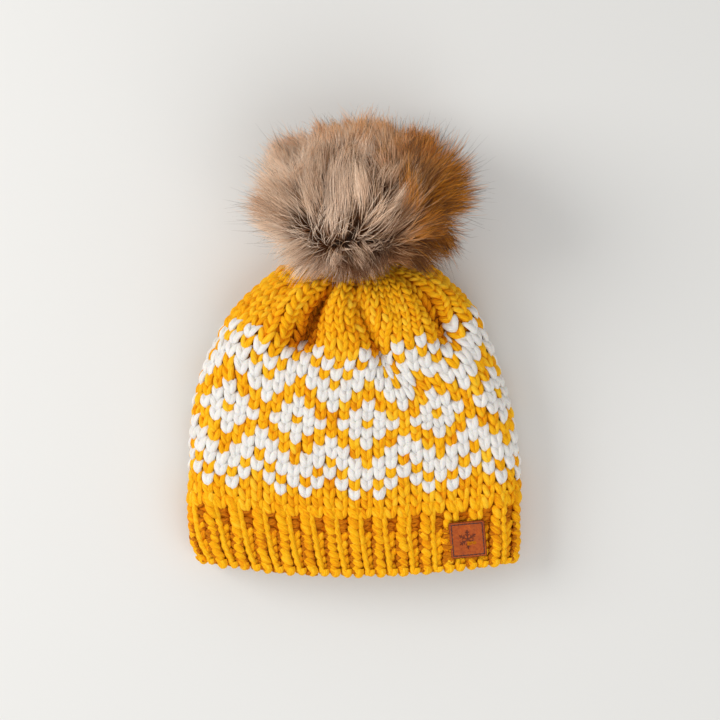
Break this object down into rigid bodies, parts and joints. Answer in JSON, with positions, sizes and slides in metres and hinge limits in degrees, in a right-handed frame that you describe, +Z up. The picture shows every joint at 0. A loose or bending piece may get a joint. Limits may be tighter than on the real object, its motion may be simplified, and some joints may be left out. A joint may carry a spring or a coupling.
{
  "type": "pom pom beanie",
  "caption": "Chunky two-colour knitted winter hat lying flat, with a ribbed brim, diamond band, gathered crown, fleece lining, leather label and a detachable faux fur pom pom.",
  "frame": {"origin": "middle of the flat underside the hat rests on, 95 mm from the head opening's edge", "axes": "+Y from the head opening towards the pom pom, +Z up out of the front face, +X across the hat towards the side with the leather label"},
  "size_m": [0.2377, 0.3149, 0.129],
  "materials": {
    "mustard_yarn": "matte knitted wool blend",
    "ivory_yarn": "matte knitted wool blend",
    "fleece": "brushed fleece",
    "faux_fur": "long soft pile with dark tips",
    "fur_backing": "woven backing cloth",
    "fibre_fill": "loose polyester fibre",
    "brown_leather": "smooth satin grain",
    "dark_thread": "twisted thread",
    "pale_thread": "twisted thread",
    "brown_felt": "pressed felt",
    "snap_steel": "nickel plated",
    "label_satin": "satin ribbon"
  },
  "bodies": {
    "hat": {"rib_brim": "mustard_yarn", "knit_body": "mustard_yarn", "crown_gather": "mustard_yarn", "contrast_yarn": "ivory_yarn", "gather_cord": "mustard_yarn", "lining_front_panel": "fleece", "lining_back_panel": "fleece", "lining_seam_thread": "pale_thread", "lining_hem_thread": "pale_thread", "label_tack_thread": "pale_thread", "leather_tag": "brown_leather", "tag_thread": "dark_thread", "crown_inner_disc": "brown_felt", "crown_outer_disc": "brown_felt", "socket_rivet": "snap_steel", "snap_socket": "snap_steel"},
    "care_label": {"care_label": "label_satin"},
    "snap_ring": {"snap_spring": "snap_steel"},
    "pom": {"snap_stud": "snap_steel", "stud_cap": "snap_steel", "pom_base_disc": "brown_felt", "pom_draw_thread": "dark_thread", "pom_stuffing": "fibre_fill", "pom_backing_cloth": "fur_backing", "pom_pile": "faux_fur"}
  },
  "joints": [
    {"name": "care_label_flip", "type": "hinge", "parent": "hat", "child": "care_label", "pos_m": [-0.034, -0.063, 0.0143], "axis": [1, 0, 0], "range_deg": [0, 28]},
    {"name": "pom_swivel", "type": "hinge", "parent": "hat", "child": "snap_ring", "pos_m": [0.0035, 0.1189, 0.036], "axis": [0, 0.8192, 0.5736], "continuous": true},
    {"name": "pom_release", "type": "slide", "parent": "snap_ring", "child": "pom", "axis": [0, 0.8192, 0.5736], "range_m": [0, 0.08]}
  ]
}
